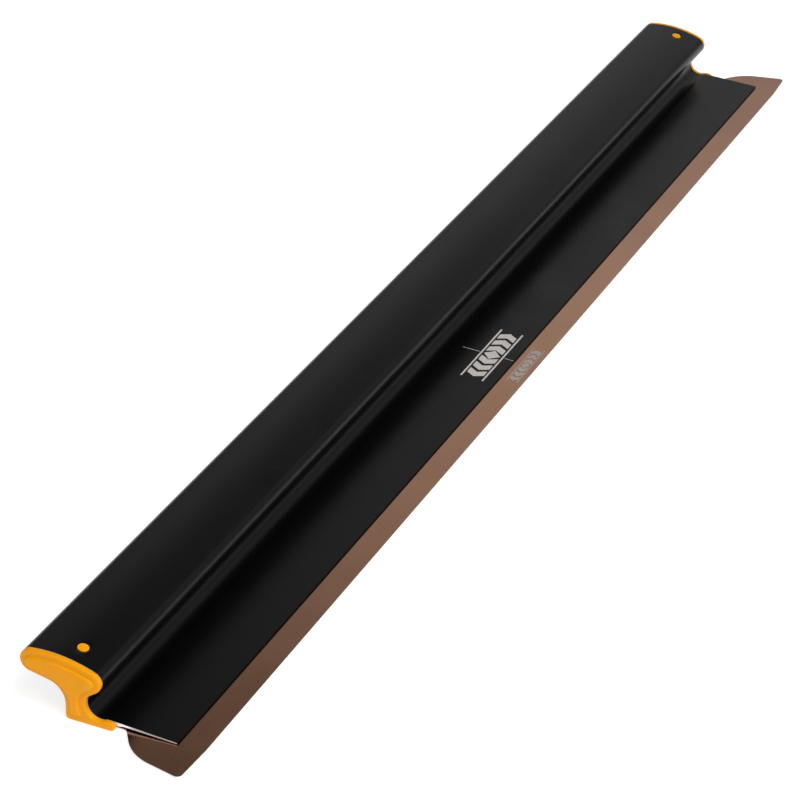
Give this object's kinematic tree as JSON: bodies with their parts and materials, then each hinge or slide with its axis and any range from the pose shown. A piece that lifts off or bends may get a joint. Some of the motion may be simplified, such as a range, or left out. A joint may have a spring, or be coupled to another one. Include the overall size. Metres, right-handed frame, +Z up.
{
  "type": "drywall skimming blade",
  "caption": "Long drywall skimming blade: flexible bronze-toned steel blade in a black aluminium handle with yellow plug-in end caps.",
  "frame": {"origin": "on the surface that the tool rests on, under the middle of its bounding box", "axes": "+X along the blade, -Y towards the working edge, +Z up, square to the blade"},
  "size_m": [1.016, 0.114, 0.0408],
  "materials": {
    "black_aluminium": "fine satin black anodised, bare bright metal where it is cut",
    "bronze_steel": "bronze-toned polished spring steel with darker edges",
    "bare_steel": "plain zinc-plated steel",
    "yellow_plastic": "glossy yellow-orange moulded plastic"
  },
  "bodies": {
    "handle": {"handle_extrusion": "black_aluminium", "blade": "bronze_steel", "blade_spine": "bare_steel", "spine_rivet_01": "bare_steel", "spine_rivet_02": "bare_steel", "spine_rivet_03": "bare_steel", "spine_rivet_04": "bare_steel", "spine_rivet_05": "bare_steel", "spine_rivet_06": "bare_steel", "spine_rivet_07": "bare_steel", "spine_rivet_08": "bare_steel", "spine_rivet_09": "bare_steel", "spine_rivet_10": "bare_steel", "spine_rivet_11": "bare_steel", "spine_rivet_12": "bare_steel"},
    "left_cap": {"left_end_cap": "yellow_plastic"},
    "left_latch": {"left_latch_tongue": "yellow_plastic"},
    "right_cap": {"right_end_cap": "yellow_plastic"},
    "right_latch": {"right_latch_tongue": "yellow_plastic"}
  },
  "joints": [
    {"name": "left_cap_slide", "type": "slide", "parent": "handle", "child": "left_cap", "axis": [-1, 0, 0], "range_m": [0, 0.045], "deforming": ["left_latch_tongue"]},
    {"name": "right_cap_slide", "type": "slide", "parent": "handle", "child": "right_cap", "axis": [1, 0, 0], "range_m": [0, 0.045], "deforming": ["right_latch_tongue"]},
    {"name": "left_latch_press", "type": "hinge", "parent": "left_cap", "child": "left_latch", "pos_m": [-0.4543, 0.02537, 0.03638], "axis": [0, -0.9834, -0.1813], "range_deg": [0, 9.5], "stiffness_Nm_per_rad": 0.6},
    {"name": "right_latch_press", "type": "hinge", "parent": "right_cap", "child": "right_latch", "pos_m": [0.4543, 0.02537, 0.03638], "axis": [0, 0.9834, 0.1813], "range_deg": [0, 9.5], "stiffness_Nm_per_rad": 0.6}
  ]
}
